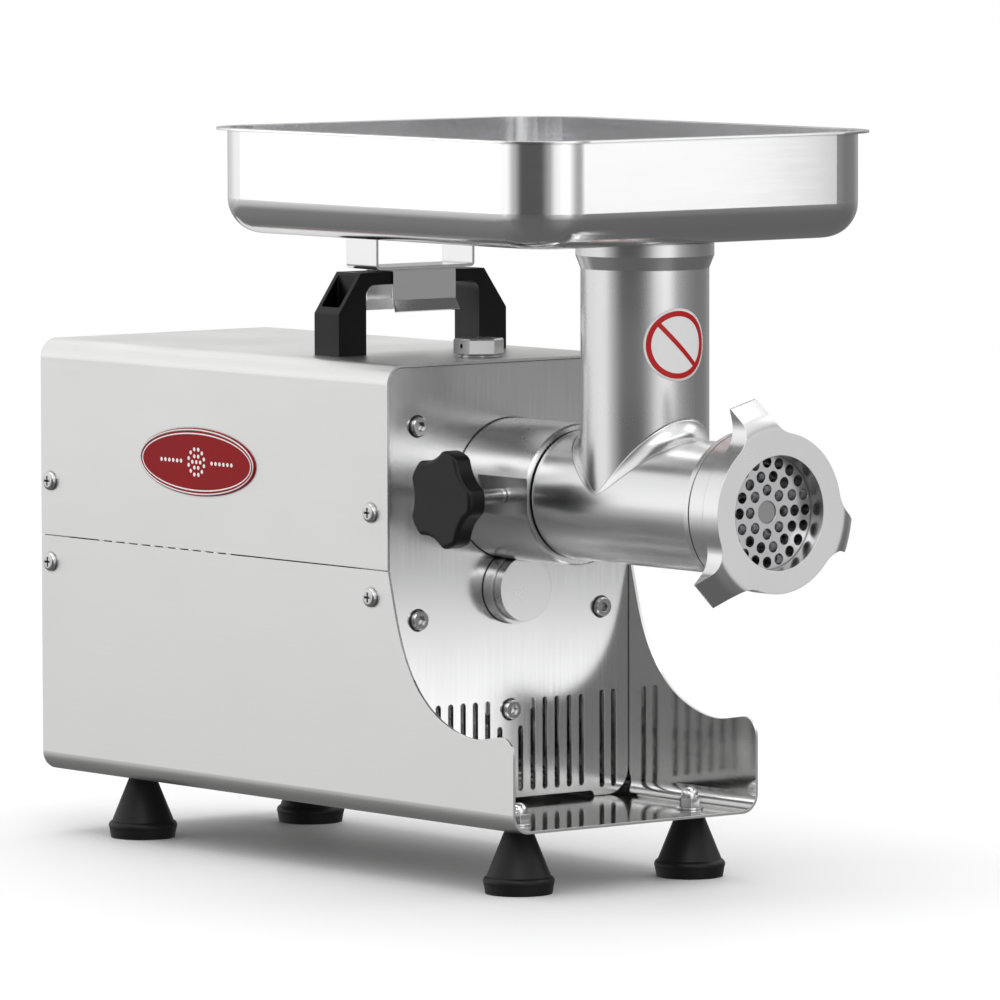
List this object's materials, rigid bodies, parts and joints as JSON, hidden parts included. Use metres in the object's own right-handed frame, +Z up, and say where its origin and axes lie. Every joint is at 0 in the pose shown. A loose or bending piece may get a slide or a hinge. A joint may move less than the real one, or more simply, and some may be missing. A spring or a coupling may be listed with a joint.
{
  "type": "electric meat grinder",
  "caption": "Electric meat grinder with a steel casing, geared motor, auger head, screwed ring, lift-off tray and carry handle.",
  "frame": {"origin": "on the floor, under the middle of the overall length and width", "axes": "+Z up, -Y forwards along the grinding head, +X to the right seen from the front"},
  "size_m": [0.2514, 0.544, 0.4048],
  "materials": {
    "casing_steel": "satin brushed sheet",
    "plate_steel": "bright polished sheet",
    "tray_steel": "polished deep-drawn sheet",
    "head_steel": "fine satin polish",
    "ring_steel": "satin cast",
    "blade_steel": "ground",
    "gear_steel": "machined",
    "bearing_steel": "ground",
    "fastener_steel": "zinc plated",
    "bright_chrome": "polished",
    "cast_aluminium": "machined casting",
    "core_iron": "laminated",
    "copper_wire": "varnished",
    "rubber": "matt",
    "gasket": "matt",
    "black_plastic": "fine grain",
    "white_plastic": "smooth",
    "badge_red": "gloss",
    "button_red": "gloss",
    "label_white": "printed film"
  },
  "bodies": {
    "root": {"base_shell": "casing_steel", "upper_cover": "casing_steel", "front_plate": "plate_steel", "rear_panel": "plate_steel", "side_screws": "fastener_steel", "plate_screws": "fastener_steel", "feet": "rubber", "foot_bolts": "fastener_steel", "cap_nuts": "bright_chrome", "carry_handle": "black_plastic", "handle_screws": "fastener_steel", "handle_nuts": "fastener_steel", "breather_plug": "cast_aluminium", "plug_washer": "fastener_steel", "side_badge": "badge_red", "gearbox_front_housing": "cast_aluminium", "gearbox_rear_housing": "cast_aluminium", "gearbox_gasket": "gasket", "gearbox_screws": "fastener_steel", "output_front_bearing": "bearing_steel", "output_rear_bearing": "bearing_steel", "intermediate_bearings": "bearing_steel", "shaft_seal": "rubber", "motor_front_bell": "cast_aluminium", "motor_rear_bell": "cast_aluminium", "stator_core": "core_iron", "stator_windings": "copper_wire", "motor_bearings": "bearing_steel", "motor_bolts": "fastener_steel", "run_capacitor": "white_plastic", "capacitor_clamp": "fastener_steel", "power_inlet": "black_plastic", "inlet_screws": "fastener_steel", "breaker_body": "black_plastic", "switch_housing": "black_plastic", "grinder_head": "head_steel", "plate_key_pin": "fastener_steel", "auger_bushing": "white_plastic", "neck_label": "label_white"},
    "motor_rotor": {"motor_shaft": "gear_steel", "rotor_core": "core_iron", "cooling_fan": "black_plastic"},
    "intermediate": {"intermediate_shaft": "gear_steel", "intermediate_gear": "gear_steel"},
    "drive": {"output_shaft": "gear_steel", "output_gear": "gear_steel", "output_key": "gear_steel", "auger": "head_steel", "knife": "blade_steel"},
    "plate_carrier": {"grinding_plate": "blade_steel"},
    "ring": {"ring_nut": "ring_steel"},
    "clamp_slide": {"clamp_pad": "fastener_steel"},
    "clamp": {"clamp_knob": "black_plastic", "clamp_stud": "fastener_steel"},
    "tray": {"tray": "tray_steel", "tray_spout": "tray_steel", "tray_bracket": "tray_steel", "tray_clip": "tray_steel"},
    "rocker": {"rocker": "button_red"},
    "reset_button": {"reset_button": "button_red"}
  },
  "joints": [
    {"name": "motor_spin", "type": "hinge", "parent": "root", "child": "motor_rotor", "pos_m": [0, 0.072, 0.1135], "axis": [0, 1, 0], "continuous": true},
    {"name": "intermediate_spin", "type": "hinge", "parent": "root", "child": "intermediate", "pos_m": [0, -0.018, 0.155], "axis": [0, 1, 0], "continuous": true},
    {"name": "auger_spin", "type": "hinge", "parent": "root", "child": "drive", "pos_m": [0, -0.108, 0.209], "axis": [0, 1, 0], "continuous": true},
    {"name": "plate_slide", "type": "slide", "parent": "root", "child": "plate_carrier", "axis": [0, -1, 0], "range_m": [0, 0.012]},
    {"name": "ring_turn", "type": "hinge", "parent": "plate_carrier", "child": "ring", "pos_m": [0, -0.258, 0.209], "axis": [0, -1, 0], "range_deg": [0, 1080]},
    {"name": "pad_slide", "type": "slide", "parent": "root", "child": "clamp_slide", "axis": [-1, 0, 0], "range_m": [0, 0.005]},
    {"name": "clamp_turn", "type": "hinge", "parent": "clamp_slide", "child": "clamp", "pos_m": [-0.06, -0.087, 0.209], "axis": [-1, 0, 0], "range_deg": [0, 1440]},
    {"name": "tray_lift", "type": "slide", "parent": "root", "child": "tray", "axis": [0, 0, 1], "range_m": [0, 0.08]},
    {"name": "rocker_tilt", "type": "hinge", "parent": "root", "child": "rocker", "pos_m": [0.084, 0.056, 0.226], "axis": [0, 0, 1], "range_deg": [-10, 10]},
    {"name": "reset_press", "type": "slide", "parent": "root", "child": "reset_button", "axis": [0, -1, 0], "range_m": [0, 0.002], "stiffness_N_per_m": 150, "springref_m": -0.001}
  ],
  "couplings": [
    {"joint": "intermediate_spin", "follows": "motor_spin", "ratio": -0.25758},
    {"joint": "auger_spin", "follows": "motor_spin", "ratio": 0.079614},
    {"joint": "plate_slide", "follows": "ring_turn", "m_per_rad": 0.00063662},
    {"joint": "pad_slide", "follows": "clamp_turn", "m_per_rad": 0.00019894}
  ]
}
